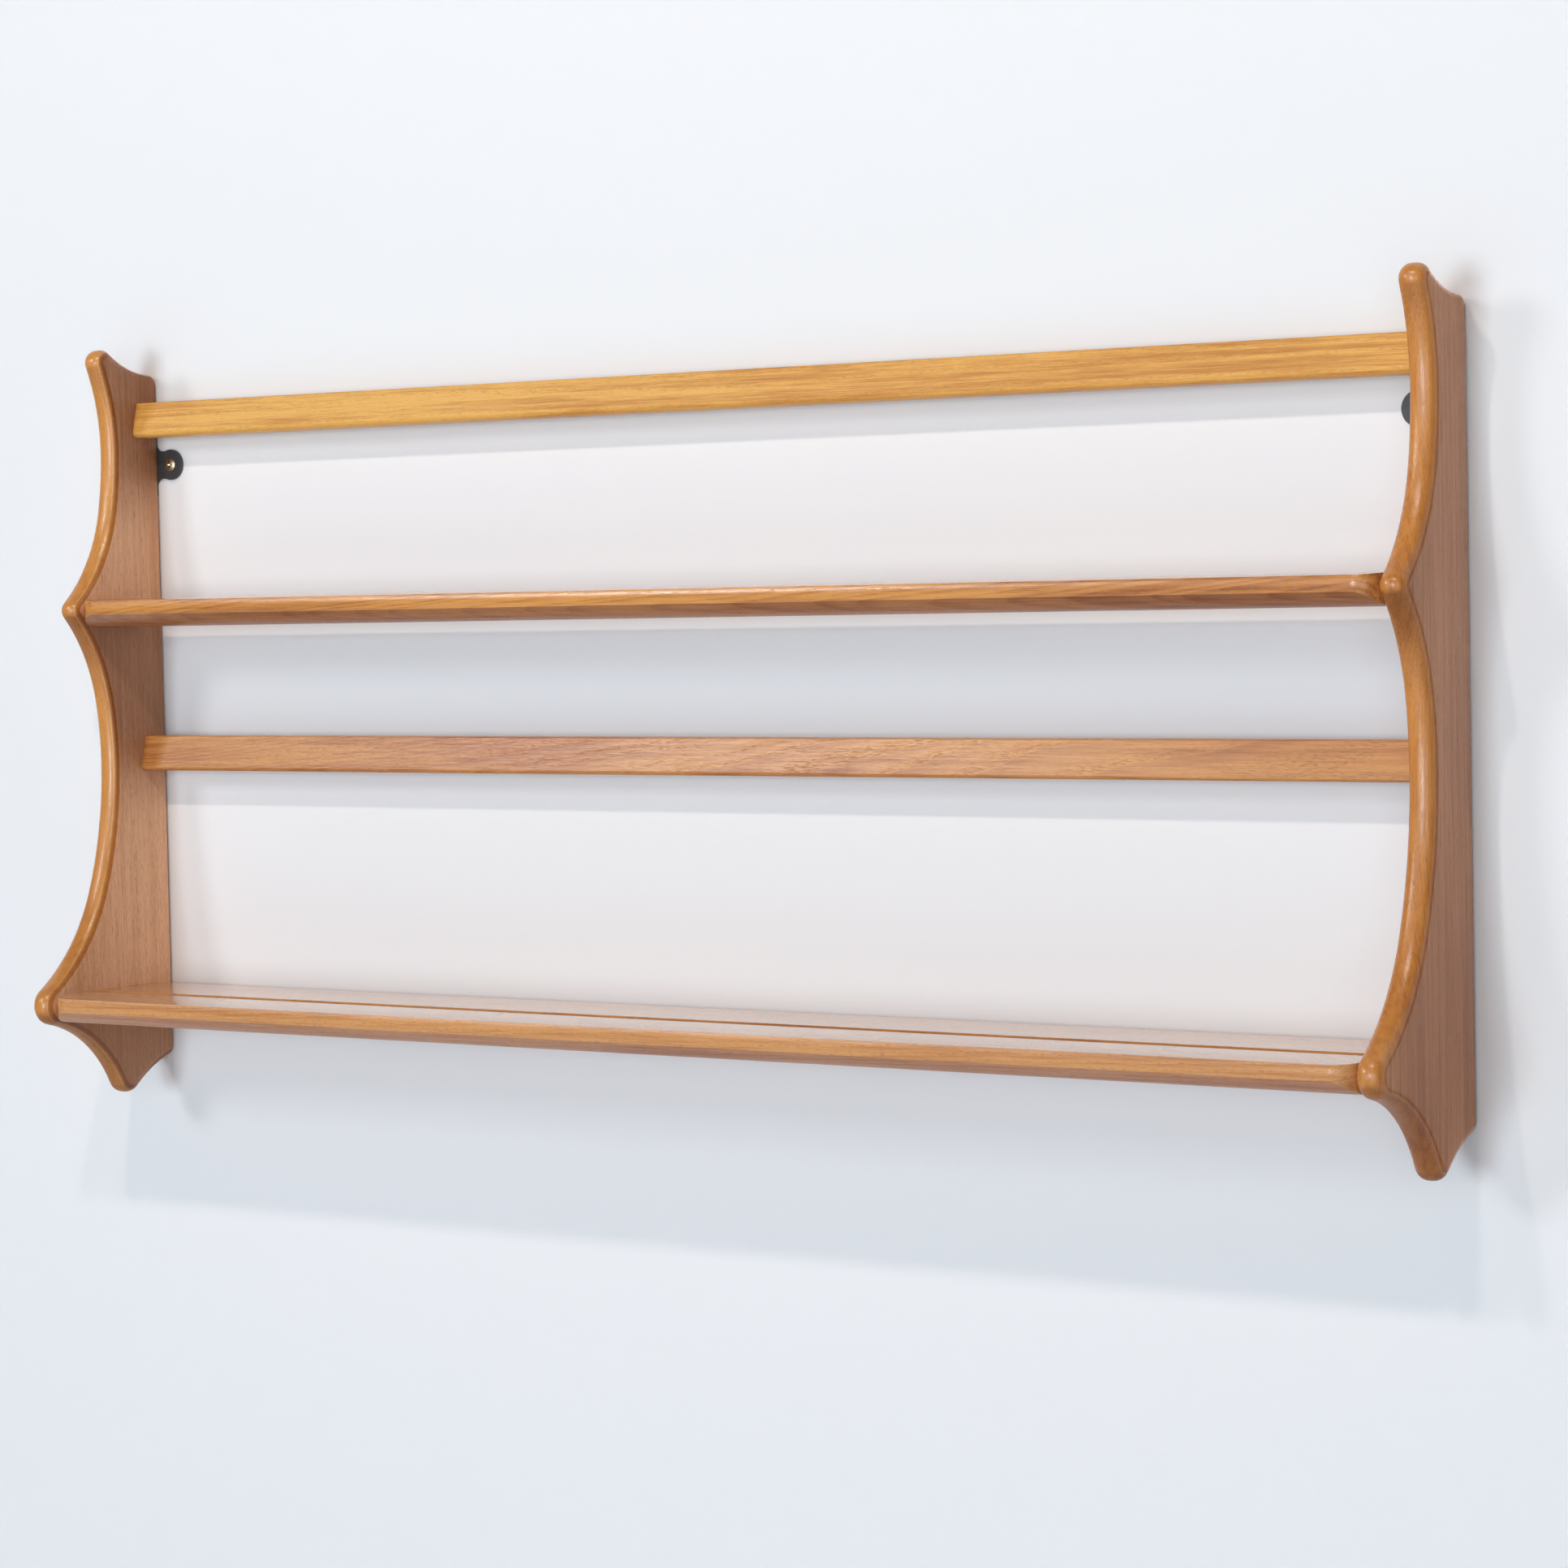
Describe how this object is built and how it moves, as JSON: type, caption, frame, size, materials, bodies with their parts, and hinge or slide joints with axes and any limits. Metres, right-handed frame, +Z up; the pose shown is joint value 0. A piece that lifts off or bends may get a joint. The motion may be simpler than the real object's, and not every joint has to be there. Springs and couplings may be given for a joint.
{
  "type": "wall plate rack",
  "caption": "Wall-hung hardwood plate rack: scalloped sides with rounded edges carry grooved shelves and slim leaning rails, hung from black lugged plates.",
  "frame": {"origin": "midway between the two wall screws, on the wall plane behind the hanging plates", "axes": "+X along the rack to the right as seen from the front, +Y into the wall (the front faces -Y), +Z up"},
  "size_m": [0.97, 0.152, 0.4943],
  "materials": {
    "side_wood": "oiled hardwood, satin, orange-brown on the rounded edges",
    "board_wood": "oiled hardwood, satin, golden along the front faces",
    "dowel_wood": "plain beech dowel",
    "black_steel": "satin black paint",
    "brass": "plain brass screw"
  },
  "bodies": {
    "root": {"left_side": "side_wood", "right_side": "side_wood", "upper_shelf": "board_wood", "lower_shelf": "board_wood", "upper_rail": "board_wood", "middle_rail": "board_wood", "upper_shelf_left_dowels": "dowel_wood", "upper_shelf_right_dowels": "dowel_wood", "lower_shelf_left_dowels": "dowel_wood", "lower_shelf_right_dowels": "dowel_wood", "upper_rail_left_dowels": "dowel_wood", "upper_rail_right_dowels": "dowel_wood", "middle_rail_left_dowels": "dowel_wood", "middle_rail_right_dowels": "dowel_wood", "left_hanging_plate": "black_steel", "right_hanging_plate": "black_steel", "left_plate_screws": "brass", "right_plate_screws": "brass", "left_wall_screw": "brass", "right_wall_screw": "brass"}
  },
  "joints": []
}
